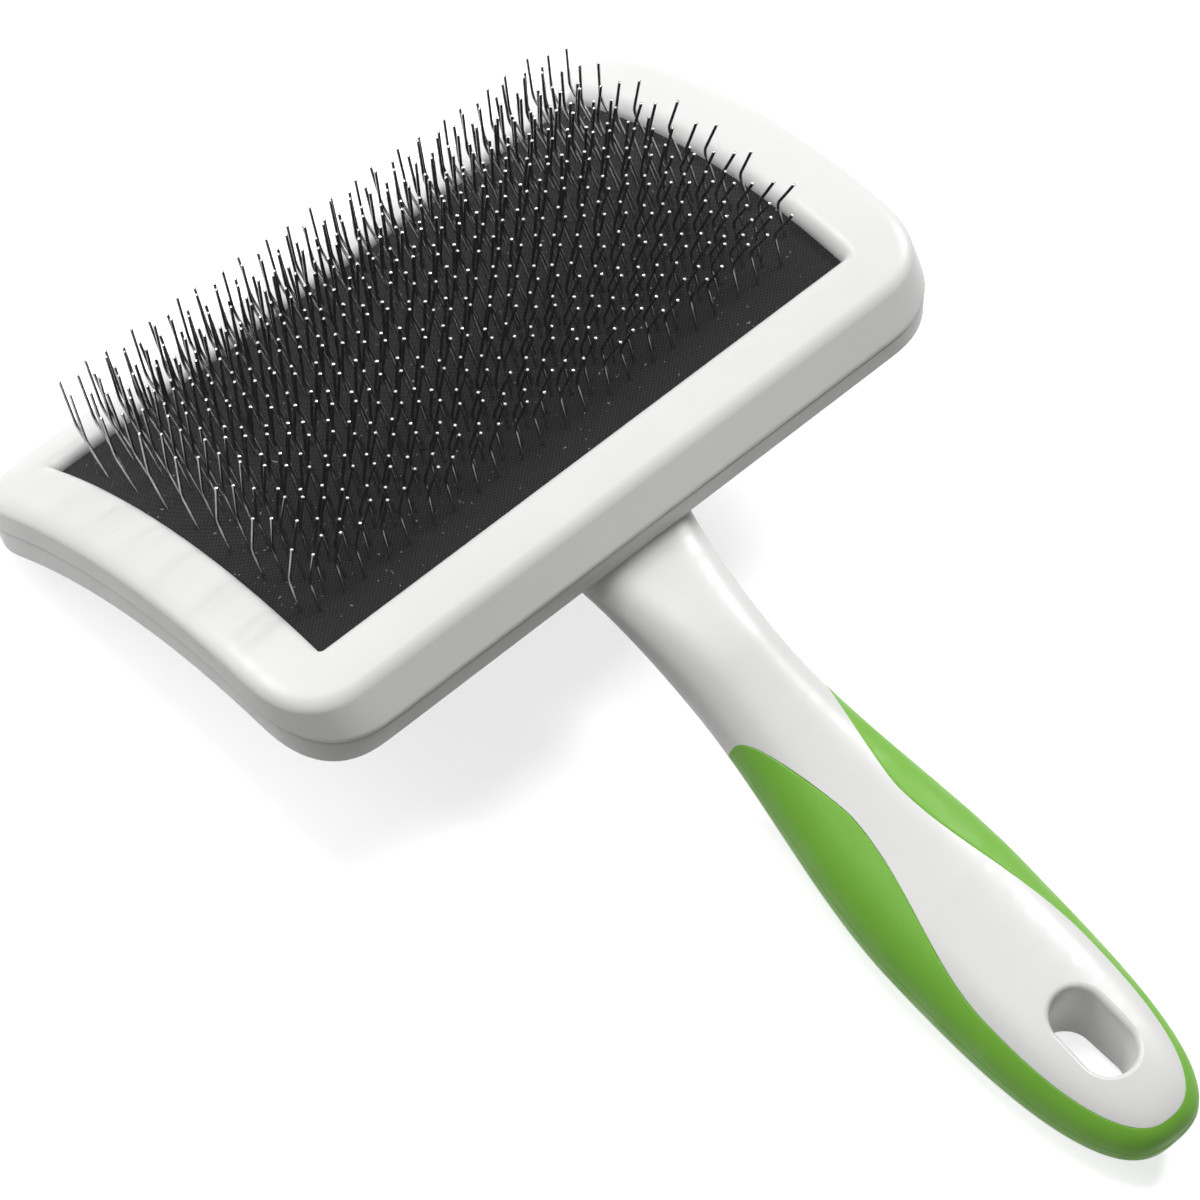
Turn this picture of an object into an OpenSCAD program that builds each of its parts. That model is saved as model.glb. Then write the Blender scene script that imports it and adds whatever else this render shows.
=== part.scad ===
// Slicker brush: arched head with a cushioned pad of knee-bent wire pins, and a curved handle
// with a soft overmoulded grip. It lies as on a table, pins up, on the far edge of its back
// and the end of its handle. Millimetres.

/* [Head] */
// Length of the opening in the frame, across the handle
opening_l = 94.5; // [80:0.5:110]
// Width of the opening, in line with the handle
opening_w = 55.5; // [48:0.5:66]
// Width of the frame round the opening, at the parting line
bezel_w = 10.25; // [8:0.05:12]
// How much wider the frame is at the two ends of the head
end_more = 0.5; // [0:0.05:2]
// Radius of the arch across the head
arch_r = 84; // [76:1:140]
// Radius of the head's corners seen from above
corner_r = 10.5; // [6:0.5:14]
// Rounding of the frame's outer upper edge
edge_r = 4; // [2:0.1:4.6]
// Rounding of the frame's inner lip
lip_r = 2.3; // [0.5:0.1:2.3]
// Height of the frame's side wall, from its top to the parting line
frame_h = 5; // [4.8:0.1:7]
// Depth of the pad's cloth below the top of the frame
lip_depth = 2.35; // [2.35:0.05:4]
// Draft of the frame's two long side walls
frame_draft = 0.3; // [0:0.1:0.8]
// Step from the frame to the rim of the back at the parting line
seam_step = 0.2; // [0.1:0.05:0.8]
// How far the rim of the back draws in towards its lower edge
rim_taper = 1.1; // [0.4:0.1:2]
// How far it draws in at the two ends of the head
end_taper = 0.4; // [0.2:0.1:1.5]
// Rounding of the lower edge of the back
back_edge_r = 0.9; // [0.3:0.1:1.4]
// Thickness of the back plate under the cushion
floor_t = 1.8; // [1.4:0.1:3]

/* [Pad] */
// Thickness of the woven face cloth
cloth_t = 0.8; // [0.5:0.1:1.2]
// Thickness of the rubber ply that holds the wires
rubber_t = 1.9; // [1.9:0.1:2.6]
// Thickness of the foam cushion
foam_t = 2.6; // [1:0.1:3.4]
// Width of the pad's edge that the frame clamps
clamp_w = 4; // [2:0.1:5]
// Clearance round the edges of the pad's layers
pad_gap = 0.2; // [0.1:0.05:0.4]

/* [Wire staples] */
// Diameter of the wire
wire_d = 0.44; // [0.3:0.02:0.6]
// Distance between the two legs of a staple at the cloth
staple_w = 4.4; // [3:0.1:5]
// Distance from staple to staple along a row
staple_pitch = 7.9; // [7:0.1:10]
// Distance from row to row along the arch
row_pitch = 1.7; // [1.5:0.05:3]
// Sideways step from each row to the next
row_step = 1.97; // [1:0.01:3]
// Length of the field of pins
field_l = 92; // [60:0.5:92]
// Width of the field of pins along the arch
field_w = 48; // [30:1:52]
// Shift of the staple field away from the handle
field_shift = 0.9; // [0:0.1:2]
// Length of wire from the cloth to the knee
shank_l = 5.6; // [4:0.1:8]
// Length of wire from the knee to the tip
tip_l = 7.6; // [4:0.1:9]
// Lean of the shank away from the handle
shank_lean = 19; // [10:1:30]
// Angle of the bend at the knee
knee_angle = 36; // [20:1:60]
// Width of the staple's crown, pressed flat
crown_w = 0.54; // [0.5:0.02:0.8]
// Thickness of the crown
crown_t = 0.28; // [0.2:0.02:0.4]
// Clearance of the holes that the wires pierce
pierce_gap = 0.04; // [0.02:0.01:0.1]

/* [Handle] */
// Distance from the head's centre to the root of the neck
neck_y = 26.8; // [20:0.2:34]
// Depth of the root of the neck below the top of the head
neck_z = 15; // [12:0.2:24]
// Downward slope of the neck at its root
neck_slope = 39; // [20:1:45]
// Distance from the head's centre to the end of the handle
end_y = 127.1; // [110:0.1:150]
// Depth of the handle's end below the top of the head
end_z = 71.4; // [55:0.2:80]
// Downward slope of the handle at its end
end_slope = 18.6; // [5:0.2:30]
// Width of the neck where it leaves the head
root_w = 24; // [20:0.5:34]
// Width of the neck at its narrowest
neck_w = 15; // [13:0.5:20]
// Greatest width of the handle
belly_w = 24.4; // [22:0.2:32]
// Thickness of the neck's root, under the back
root_t = 5; // [4:0.2:9]
// Thickness of the neck
neck_t = 12.8; // [11:0.2:16]
// Greatest thickness of the handle
belly_t = 14.2; // [12:0.2:18]
// Squareness of the handle's cross-section, where 2 is an ellipse
section_n = 2.5; // [2:0.1:2.6]
// Squareness of the handle's end, seen from above
end_n = 3; // [2:0.1:4]

/* [Grip] */
// Thickness of the soft overmould
grip_t = 1.8; // [1.2:0.1:2.5]
// Share of the handle's length at which the grip's tips start
grip_share = 0.31; // [0.25:0.01:0.36]
// Width of the bare island at its waist
waist_w = 7.8; // [6:0.2:12]
// Width of the bare island round the hang slot
island_w = 19; // [15:0.5:20]
// Length of the grip's cap past the bare island
cap_l = 1.6; // [1.2:0.1:6]

/* [Hang slot] */
// Width of the slot
slot_w = 8; // [6:0.5:10]
// Length of the slot
slot_l = 13.4; // [11:0.2:18]
// Distance from the handle's end to the slot's centre
slot_in = 15.8; // [14:0.2:20]
// Flare of the slot's rim
slot_flare = 0.6; // [0.4:0.1:1.6]

/* [Hidden] */
// Facets of round parts, of the thin wires and of the arch, and steps along curved outlines
$fn = 48;
wire_fn = 16;
arch_fn = 160;
corner_steps = 6;
side_steps = 10;
round_steps = 4;
arc_steps = 10;
handle_steps = 32;
zone_steps = 14;
// How far the cutter for the grip's recess stands over the handle's skin
proud = 1;
// Smallest corner of the opening and of the pad's layers
corner_min = 0.4;

// Depths below the top of the frame
cloth_z = lip_depth + cloth_t;
ledge_z = cloth_z + rubber_t;
crown_room = crown_t * cos(shank_lean) + crown_w * sin(shank_lean) + pad_gap / 2;
foam_z = ledge_z + crown_room;
floor_z = foam_z + foam_t;
back_z = floor_z + floor_t;
// Distances outwards from the opening's edge
clamp_u = clamp_w + pad_gap;
rim_u = bezel_w - seam_step;
pocket_u = 0.5;

// Height of the arch over its crown, at a distance from the head's centre line
function arch(y) = sqrt(arch_r * arch_r - y * y) - arch_r;

// Right half of a rounded rectangle, from its near side to its far side
function half_outline(l, w, r) = concat(
    [for (i = [0 : corner_steps]) let (a = 90 * i / corner_steps - 90)
        [l / 2 - r + r * cos(a), r - w / 2 + r * sin(a)]],
    [for (i = [1 : side_steps - 1]) [l / 2, (w / 2 - r) * (2 * i / side_steps - 1)]],
    [for (i = [0 : corner_steps]) let (a = 90 * i / corner_steps)
        [l / 2 - r + r * cos(a), w / 2 - r + r * sin(a)]]);

// Closed ring round the opening, a distance u outside its edge and a depth below the arch;
// at the two ends it lies further out by more
function ring(u, depth, more = 0) =
    let (r = max(corner_r - bezel_w + u, corner_min),
         half = half_outline(opening_l + 2 * (u + more), opening_w + 2 * u, r))
    concat([for (p = half) [p[0], p[1], arch(p[1]) - depth]],
           [for (i = [len(half) - 1 : -1 : 0]) [-half[i][0], half[i][1], arch(half[i][1]) - depth]]);

// Side wall and rounded outer edge of the frame
function frame_edge_rings() = concat(
    [ring(bezel_w, frame_h, end_more)],
    [for (i = [0 : round_steps]) let (a = 90 * i / round_steps)
        ring(bezel_w - frame_draft - edge_r * (1 - cos(a)), edge_r * (1 - sin(a)),
             end_more + frame_draft)]);

// Rounded lower edge of the back
function back_edge_rings() =
    [for (i = [0 : round_steps]) let (a = 90 * i / round_steps)
        ring(rim_u - rim_taper - back_edge_r * (1 - sin(a)), back_z - back_edge_r * (1 - cos(a)),
             end_more + rim_taper - end_taper)];

// Faces of a skin over m rings of n points; looped joins the last ring to the first
function skin(m, n, looped = false) =
    [for (k = [0 : m - (looped ? 1 : 2)], j = [0 : n - 1])
        [k * n + j, (k + 1) % m * n + j, (k + 1) % m * n + (j + 1) % n, k * n + (j + 1) % n]];

// Faces across a ring that is its own mirror image, turned up or down
function lid(first, n, up) =
    [for (i = [0 : n / 2 - 2])
        let (a = first + i, b = first + n - 2 - i)
        up ? [b + 1, b, a + 1, a] : [a, a + 1, b, b + 1]];

// Every point of a list of rings, in one list
function flat(rings) = [for (r = rings) each r];

// Handle: centre line in the plane x = 0, as [y, z], from the neck's root to the end
function dir(slope) = [-cos(slope), -sin(slope)];
root_p = [-neck_y, -neck_z];
end_p = [-end_y, -end_z];
reach = norm(end_p - root_p);
pull = 0.36 * reach;
bend_p = [root_p, root_p + pull * dir(neck_slope), end_p - pull * dir(end_slope), end_p];
function bezier(t) =
    pow(1 - t, 3) * bend_p[0] + 3 * t * pow(1 - t, 2) * bend_p[1]
    + 3 * t * t * (1 - t) * bend_p[2] + t * t * t * bend_p[3];
function bezier_dir(t) =
    let (d = pow(1 - t, 2) * (bend_p[1] - bend_p[0]) + 2 * t * (1 - t) * (bend_p[2] - bend_p[1])
             + t * t * (bend_p[3] - bend_p[2]))
    d / norm(d);
// Before the root the centre line runs straight on, into the back
function centre(t) = t < 0 ? root_p + t * reach * dir(neck_slope) : bezier(t);
function along(t) = t < 0 ? dir(neck_slope) : bezier_dir(t);
function across(t) = let (d = along(t)) [d[1], -d[0]];

// Shares of the handle's length: narrowest neck, greatest width, and the hidden root
neck_share = 0.25;
belly_share = 0.65;
root_share = -0.07;
waist_share = grip_share + 0.17;
island_share = 0.77;

function ease(x) = let (c = min(max(x, 0), 1)) c * c * (3 - 2 * c);
// Rounded end: how much of the section is left, a share q of the way from belly to end
function taper(q, n = end_n) = pow(max(1 - pow(q, n), 0), 1 / n);
function half_w(t) =
    t < 0 ? root_w / 2
    : t < neck_share ? neck_w / 2 + (root_w - neck_w) / 2 * pow(1 - t / neck_share, 2)
    : neck_w / 2 + (belly_w - neck_w) / 2 * ease((t - neck_share) / (belly_share - neck_share));
function half_t(t) =
    t < neck_share ? root_t / 2 + (neck_t - root_t) / 2 * ease(t / neck_share)
    : neck_t / 2 + (belly_t - neck_t) / 2 * ease((t - neck_share) / (belly_share - neck_share));

// Point of the handle's surface at an angle of its section; sunk is the depth below the skin
function end_q(t) = max(0, (t - belly_share) / (1 - belly_share));
function skin_at(t, sunk) = t - max(0, (t - island_end) / (1 - island_end)) * min(sunk, cap_t) / reach;
function section(t, sunk, a) =
    let (k = taper(end_q(t)), e = 2 / section_n)
    [(half_w(t) - sunk) * k * sign(cos(a)) * pow(abs(cos(a)), e),
     (half_t(t) - sunk) * k * sign(sin(a)) * pow(abs(sin(a)), e)];
// A section's [across, up] placed in space
function place(t, p) =
    let (c = centre(t), n = across(t))
    [p[0], c[0] + p[1] * n[0], c[1] + p[1] * n[1]];
function shell_point(t, sunk, a, least_x = 0) =
    let (p = section(t, sunk, a), x = abs(p[0]) < least_x ? sign(cos(a)) * least_x : p[0])
    place(skin_at(t, sunk), [x, p[1]]);

// Bare island on the handle: half its width, and the angle of its edge on the section
island_end = 1 - cap_l / reach;
cap_t = 0.6 * cap_l;
tip_share = 0.93;
point_w = 0.05;
function island_x(t) =
    let (tip = tip_share * half_w(t) * taper(end_q(t)),
         to_waist = ease((t - grip_share) / (waist_share - grip_share)),
         to_slot = ease((t - waist_share) / (island_share - waist_share)),
         to_end = (t - island_share) / (island_end - island_share))
    min(tip,
        t < waist_share ? tip + (waist_w / 2 - tip) * to_waist
        : t < island_share ? waist_w / 2 + (island_w - waist_w) / 2 * to_slot
        : max(point_w, island_w / 2 * taper(to_end, section_n)));
function edge_angle(t, sunk = 0) =
    let (w = (half_w(t) - sunk) * taper(end_q(t)))
    acos(pow(min(island_x(t) / w, 1), section_n / 2));

// Stations along the handle; they crowd towards the rounded ends
function spread(a, b, n) = [for (i = [0 : n]) a + (b - a) * i / n];
function crowd(a, b, n) = [for (i = [0 : n]) a + (b - a) * sin(90 * i / n)];
neck_stations = concat(spread(root_share, 0, 3), [for (t = spread(0, grip_share, 9)) if (t > 0) t]);
island_stations = concat(
    spread(grip_share, island_share, zone_steps),
    [for (t = crowd(island_share, island_end, zone_steps / 2)) if (t > island_share) t]);
cap_stations = [for (t = crowd(island_end, 1, zone_steps / 2)) if (t < 1) t];

// How the brush lies: the far lower edge of the back and the handle's underside touch the table
foot_p = [for (p = flat(back_edge_rings())) if (p[0] > 0 && p[1] > 0) [p[1], p[2]]];
under_p = [for (t = concat(island_stations, cap_stations))
    let (p = shell_point(t, 0, -90)) [p[1], p[2]]];
rest_angle = min([for (f = foot_p) max([for (p = under_p) atan2(f[1] - p[1], f[0] - p[0])])]);
function lie(p) = [p[0] * cos(rest_angle) + p[1] * sin(rest_angle),
                   p[1] * cos(rest_angle) - p[0] * sin(rest_angle)];
far_p = [for (p = flat(frame_edge_rings())) lie([p[1], p[2]])];
tail_p = [for (t = cap_stations, a = [-90, 0, 90]) let (p = shell_point(t, 0, a)) lie([p[1], p[2]])];
head_edge = max([for (p = far_p) p[0]]);
tail_edge = min(concat([for (p = tail_p) p[0]], [lie(end_p)[0]]));
middle = (head_edge + tail_edge) / 2;
table = min([for (p = concat(foot_p, under_p)) lie(p)[1]]);

// Rows of staples, counted from the handle's side of the pad
rows = floor(field_w / row_pitch) + 1;
row_start = 3.34;
function row_tilt(i) = ((i - (rows - 1) / 2) * row_pitch + field_shift) / arch_r * 180 / PI;
function staple_xs(i) =
    let (offset_x = (row_start + rows * staple_pitch - i * row_step) % staple_pitch,
         first = (staple_w - field_l) / 2 + offset_x)
    [for (x = [first : staple_pitch : (field_l - staple_w) / 2]) x];
function row_name(i) = str("staple_row_", i < 9 ? "0" : "", i + 1);
// Wire below the cloth's face, down to the crown
sunk_l = (cloth_t + rubber_t) / cos(shank_lean) + crown_w / 2 * tan(shank_lean);

white = [0.94, 0.94, 0.93];
green = [0.44, 0.70, 0.23];

// Puts the head's own frame on the table, in the part's frame
module lying() {
    translate([0, -middle, -table]) rotate([-rest_angle, 0, 0]) children();
}

// Everything under the arch, a depth below its top
module under_arch(depth, l) {
    translate([0, 0, -arch_r - depth]) rotate([0, 90, 0])
        cylinder(r = arch_r, h = l, center = true, $fn = arch_fn);
}

// Sheet that follows the arch
module arched_sheet(l, w, depth, t) {
    low = arch(w / 2) - depth - 2 * t;
    difference() {
        intersection() {
            translate([-l / 2, -w / 2, low]) cube([l, w, -low]);
            under_arch(depth, 2 * l);
        }
        under_arch(depth + t, 2 * l);
    }
}

// White ring that clamps the pad
module front_frame() {
    rings = concat(
        frame_edge_rings(),
        [for (i = [0 : round_steps]) let (a = 90 * i / round_steps)
            ring(lip_r * (1 - sin(a)), lip_r * (1 - cos(a)))],
        [ring(0, lip_depth), ring(clamp_u, lip_depth), ring(clamp_u, frame_h)]);
    color(white) lying()
        polyhedron(flat(rings), skin(len(rings), len(rings[0]), true), convexity = 6);
}

// Shallow tray behind the pad: rim, ledge for the pad's edge, pocket for the cushion
module back_plate() {
    rings = concat(
        back_edge_rings(),
        [ring(rim_u, frame_h, end_more), ring(clamp_u, frame_h), ring(clamp_u, ledge_z),
         ring(pocket_u, ledge_z), ring(pocket_u, floor_z)]);
    m = len(rings);
    n = len(rings[0]);
    faces = concat(skin(m, n), lid(0, n, false), lid((m - 1) * n, n, true));
    polyhedron(flat(rings), faces, convexity = 6);
}

// Closed rings skinned over, with a flat start and a pointed finish
module pointed_loft(rings, tip) {
    m = len(rings);
    n = len(rings[0]);
    last = (m - 1) * n;
    polyhedron(concat(flat(rings), [tip]),
        concat(skin(m, n), [[for (j = [0 : n - 1]) j]],
               [for (j = [0 : n - 1]) [last + j, m * n, last + (j + 1) % n]]), convexity = 4);
}

// Neck and handle, without the recess for the grip
module handle_body() {
    stations = concat(neck_stations, island_stations, cap_stations);
    rings = [for (i = [0 : len(stations) - 1]) if (i == 0 || stations[i] > stations[i - 1])
        [for (j = [0 : handle_steps - 1]) shell_point(stations[i], 0, 360 * j / handle_steps)]];
    pointed_loft(rings, shell_point(1, 0, 0));
}

// Shells that meet, joined in one skin at their own size
module one_skin() {
    resize([0, 0, 0]) union() children();
}

// Hang slot through the handle, with a flared rim on both faces
module hang_slot() {
    t = 1 - slot_in / reach;
    straight = slot_l - slot_w;
    depth = half_t(t) * taper(end_q(t));
    spot = place(t, [0, 0]);
    d = along(t);
    translate(spot) rotate([atan2(-d[1], -d[0]), 0, 0]) {
        linear_extrude(height = 4 * depth, center = true) {
            square([slot_w, straight], center = true);
            for (y = [-1, 1]) translate([0, y * straight / 2]) circle(d = slot_w);
        }
        for (up = [0, 180]) rotate([0, up, 0])
            hull() for (y = [-1, 1]) translate([0, y * straight / 2, depth - slot_flare])
                cylinder(d1 = slot_w, d2 = slot_w + 4 * slot_flare, h = 2 * slot_flare, $fn = 32);
    }
}

// White moulding: back plate, neck and the core of the handle
module back_and_handle() {
    color(white) lying() difference() {
        one_skin() {
            back_plate();
            difference() {
                handle_body();
                grip_sides(proud);
                pad_space(clamp_u, (ledge_z + floor_z) / 2);
                pad_space(pocket_u, (floor_z + back_z) / 2);
            }
        }
        hang_slot();
    }
}

// Space over the arch inside a rectangle round the opening
module pad_space(u, depth) {
    l = opening_l + 2 * u;
    w = opening_w + 2 * u;
    low = arch(w / 2) - depth - 1;
    difference() {
        translate([-l / 2, -w / 2, low]) cube([l, w, 1 - low]);
        under_arch(depth, 2 * l);
    }
}

// One side of the soft overmould, its outside a height above the handle's own skin;
// its cap meets the other side's on the middle plane
module grip_side(above) {
    rings = [for (t = concat(island_stations, [for (c = cap_stations) if (c > island_end) c]))
        let (cap = t > island_end, x = cap ? 0 : island_x(t), low = cap ? 90 : edge_angle(t),
             high = cap ? 90 : edge_angle(t, -above))
        concat([for (i = [0 : arc_steps]) shell_point(t, -above, high * (2 * i / arc_steps - 1))],
               [for (i = [0 : arc_steps]) shell_point(t, grip_t, low * (1 - 2 * i / arc_steps), x)])];
    m = len(rings);
    n = len(rings[0]);
    last = (m - 1) * n;
    outer = m * n;
    inner = outer + 1;
    polyhedron(concat(flat(rings), [shell_point(1, -above, 0), shell_point(1, grip_t, 0)]),
        concat(skin(m, n), [[for (j = [0 : n - 1]) j]],
               [for (j = [0 : arc_steps - 1]) [last + j, outer, last + j + 1]],
               [[last + arc_steps, outer, inner, last + arc_steps + 1]],
               [for (j = [arc_steps + 1 : n - 2]) [last + j, inner, last + j + 1]],
               [[last + n - 1, inner, outer, last]]), convexity = 6);
}

module grip_sides(above) {
    grip_side(above);
    mirror([1, 0, 0]) grip_side(above);
}

// Soft overmould in two arms round the bare island, joined by a cap at the handle's end
module grip() {
    color(green) lying() one_skin() grip_sides(0);
}

// A row's own frame: on the cloth's face, its third axis along the shanks
module on_row(i) {
    tilt = row_tilt(i);
    y = arch_r * sin(tilt);
    translate([0, y, arch(y) - lip_depth]) rotate([-tilt - shank_lean, 0, 0]) children();
}

// Puts what follows on every leg of a row
module on_legs(i) {
    for (x = staple_xs(i), side = [-1, 1]) translate([x + side * staple_w / 2, 0, 0]) children();
}

// Space on one side of the plane that all the knees of a row share
module beyond_knees(turn) {
    room = [2 * field_l, 4 * wire_d, 4 * wire_d];
    translate([0, 0, shank_l]) rotate([knee_angle / 2 + turn, 0, 0])
        translate([-room[0] / 2, -room[1] / 2, 0]) cube(room);
}

// A staple is one wire: crown under the rubber, two shanks through it, two bent tips
module staple_row(i) {
    foot = sunk_l + crown_t / 2;
    color("dimgray") lying() on_row(i) {
        difference() {
            on_legs(i) translate([0, 0, -foot])
                cylinder(d = wire_d, h = foot + shank_l + wire_d, $fn = wire_fn);
            beyond_knees(0);
        }
        difference() {
            on_legs(i) translate([0, 0, shank_l]) rotate([knee_angle, 0, 0]) translate([0, 0, -wire_d])
                cylinder(d = wire_d, h = tip_l + wire_d, $fn = wire_fn);
            beyond_knees(180);
        }
        for (x = staple_xs(i)) translate([x, 0, -foot])
            cube([staple_w + crown_w, crown_w, crown_t], center = true);
    }
}

// Holes that the wires pierce in the cloth and the rubber
module pierced(i) {
    on_row(i) on_legs(i) translate([0, 0, -2 * sunk_l])
        cylinder(d = wire_d + 2 * pierce_gap, h = 3 * sunk_l, $fn = wire_fn);
}

module pad_ply(depth, t) {
    difference() {
        arched_sheet(opening_l + 2 * clamp_w, opening_w + 2 * clamp_w, depth, t);
        for (i = [0 : rows - 1]) pierced(i);
    }
}

module face_cloth() {
    color([0.2, 0.2, 0.2]) lying() pad_ply(lip_depth, cloth_t);
}

module rubber_ply() {
    color([0.3, 0.3, 0.32]) lying() pad_ply(cloth_z, rubber_t);
}

module foam_cushion() {
    u = pocket_u - pad_gap;
    color([0.6, 0.6, 0.55]) lying()
        arched_sheet(opening_l + 2 * u, opening_w + 2 * u, foam_z, foam_t);
}

front_frame();
back_and_handle();
grip();
face_cloth();
rubber_ply();
foam_cushion();
for (i = [0 : rows - 1]) {
    staple_row(i);
}
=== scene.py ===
"""A slicker brush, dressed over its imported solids.

Shapes are worked out in millimetres in the head's own frame: X along the head, Y away from the
handle, Z up through the pins, with the origin on the crown of the white frame. LAY then turns
them on to the table and into metres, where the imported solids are.
"""

import math
import random

import bmesh
import bpy
import numpy as np
from mathutils import Euler, Matrix, Vector
from mathutils.bvhtree import BVHTree


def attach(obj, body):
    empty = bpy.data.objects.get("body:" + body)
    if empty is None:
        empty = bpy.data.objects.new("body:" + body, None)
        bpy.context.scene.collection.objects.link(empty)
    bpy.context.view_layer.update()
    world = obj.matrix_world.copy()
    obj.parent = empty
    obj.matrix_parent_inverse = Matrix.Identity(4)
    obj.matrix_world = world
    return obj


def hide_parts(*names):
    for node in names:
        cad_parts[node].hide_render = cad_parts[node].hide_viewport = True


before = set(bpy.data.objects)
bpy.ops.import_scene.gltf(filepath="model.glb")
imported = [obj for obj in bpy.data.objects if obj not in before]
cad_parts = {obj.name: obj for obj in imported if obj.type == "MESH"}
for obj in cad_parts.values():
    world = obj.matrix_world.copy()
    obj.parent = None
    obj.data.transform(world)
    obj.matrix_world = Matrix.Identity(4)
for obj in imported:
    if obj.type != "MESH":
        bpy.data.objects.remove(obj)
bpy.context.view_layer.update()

# One millimetre, in metres
MM = 0.001

# Head
OPENING_L, OPENING_W, BEZEL_W, END_MORE, ARCH_R, CORNER_R = 94.5, 55.5, 10.25, 0.5, 84.0, 10.5
EDGE_R, LIP_R, FRAME_H, LIP_DEPTH, FRAME_DRAFT = 4.0, 2.3, 5.0, 2.35, 0.3
SEAM_STEP, RIM_TAPER, END_TAPER, BACK_EDGE_R, FLOOR_T, CORNER_MIN = 0.2, 1.1, 0.4, 0.9, 1.8, 0.4
# The frame's edge as it shows, finer than in the solid: where the top turns down, and the parting line
SIDE_EDGE_U, SIDE_EDGE_R, END_EDGE_L, END_EDGE_Z, END_ROUNDER, SEAM_R = 6.5, 1.8, 3.2, 1.5, 0.35, 0.42
# Soft corners: their span against a plain radius, and their squareness, where 2 is an ellipse
CORNER_SPAN, CORNER_N = 1.3, 2.6
# Where the ring that holds the shading of the wall lies, as a share of the way up from its foot
HOLD_SHARE = 0.1
SEAM_STEPS, EDGE_STEPS, LIP_STEPS, BACK_STEPS = 4, 14, 10, 6

# Pad
CLOTH_T, RUBBER_T, FOAM_T, CLAMP_W, PAD_GAP = 0.8, 1.9, 2.6, 4.0, 0.2
CLOTH_EDGE_R, CLOTH_CELLS = 0.25, (120, 80)
FOAM_EDGE_R, FOAM_CELLS = 0.6, (60, 40)
SLAB_EDGE_ANGLES = (25, 50, 70, 90)
# Height over the arch to which the pad's space is cut out of the handle
PAD_CLEAR = 12

# Wire staples
WIRE_D, STAPLE_W, STAPLE_PITCH, ROW_PITCH, ROW_STEP = 0.44, 4.4, 7.9, 1.7, 1.97
FIELD_L, FIELD_W, FIELD_SHIFT, ROW_START = 92.0, 48.0, 0.9, 3.34
SHANK_L, TIP_L, SHANK_LEAN, KNEE_ANGLE = 5.6, 7.6, 19.0, 36.0
CROWN_W, CROWN_T, CROWN_CLEAR = 0.54, 0.28, 0.02
KNEE_R, CLOTH_BEND_R, CROWN_R = 1.1, 0.2, 0.45
WIRE_SIDES, WIRE_SEED = 10, 4100
# Rings behind a tip, and the share of the wire's radius that the first two from an end have
NEAR_TIP = (0.01, 0.08, 0.45)
TIP_BEVEL = {0: 0.26, 1: 0.36}
# From wire to wire, in degrees and millimetres: what changes along the head, and the chance spread
KNEE_MORE, TIP_LESS, SWAY = 8, 0.2, 1.4
LEAN_SPREAD, KNEE_SPREAD, SWAY_SPREAD, TIP_SWAY_SPREAD = 0.8, 1.3, 0.8, 1.0
SHANK_SPREAD, TIP_SPREAD = 0.05, 0.1

# Handle
NECK_Y, NECK_Z, NECK_SLOPE, END_Y, END_Z, END_SLOPE = 26.8, 15.0, 39.0, 127.1, 71.4, 18.6
ROOT_W, NECK_W, BELLY_W, ROOT_T, NECK_T, BELLY_T = 24.0, 15.0, 24.4, 5.0, 12.8, 14.2
SECTION_N, END_N, PULL_SHARE = 2.5, 3.0, 0.36
GRIP_T, GRIP_FROM, WAIST_W, ISLAND_W, CAP_L, CAP_SHARE = 1.8, 0.31, 7.8, 19.0, 1.6, 0.6
WAIST_IN, NOSE_IN = 0.17, 0.012
SLOT_W, SLOT_L, SLOT_IN = 8.0, 13.4, 15.8
# The grip's soft edge and moulding seam, and the slot's rim
GRIP_EDGE_R, GRIP_SEAM_W, GRIP_SEAM_H = 0.32, 0.16, 0.09
SLOT_FILLET, SLOT_SUNK, SLOT_PAST, SLOT_COLUMNS, FILLET_STEPS, RAY_FROM = 0.8, 0.02, 4, 96, 8, 30

# Meshes: how close points are merged, in millimetres, and the angle from which an edge stays sharp
POINT_TIDY, GRIP_TIDY, JOINT_TIDY, FIN_X = 1e-5, 3e-5, 1e-3, 1e-4
PLAIN_SHARP, ROUNDED_SHARP, WIRE_SHARP = 35.0, 60, 50

CLOTH_Z = LIP_DEPTH + CLOTH_T
LEDGE_Z = CLOTH_Z + RUBBER_T
LEAN = math.radians(SHANK_LEAN)
FOAM_Z = LEDGE_Z + CROWN_T * math.cos(LEAN) + CROWN_W * math.sin(LEAN) + PAD_GAP / 2
FLOOR_Z = FOAM_Z + FOAM_T
BACK_Z = FLOOR_Z + FLOOR_T
CLAMP_U = CLAMP_W + PAD_GAP
RIM_U = BEZEL_W - SEAM_STEP
POCKET_U = 0.5


# Shapes of the head

def arch(y):
    return math.sqrt(ARCH_R * ARCH_R - y * y) - ARCH_R


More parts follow.
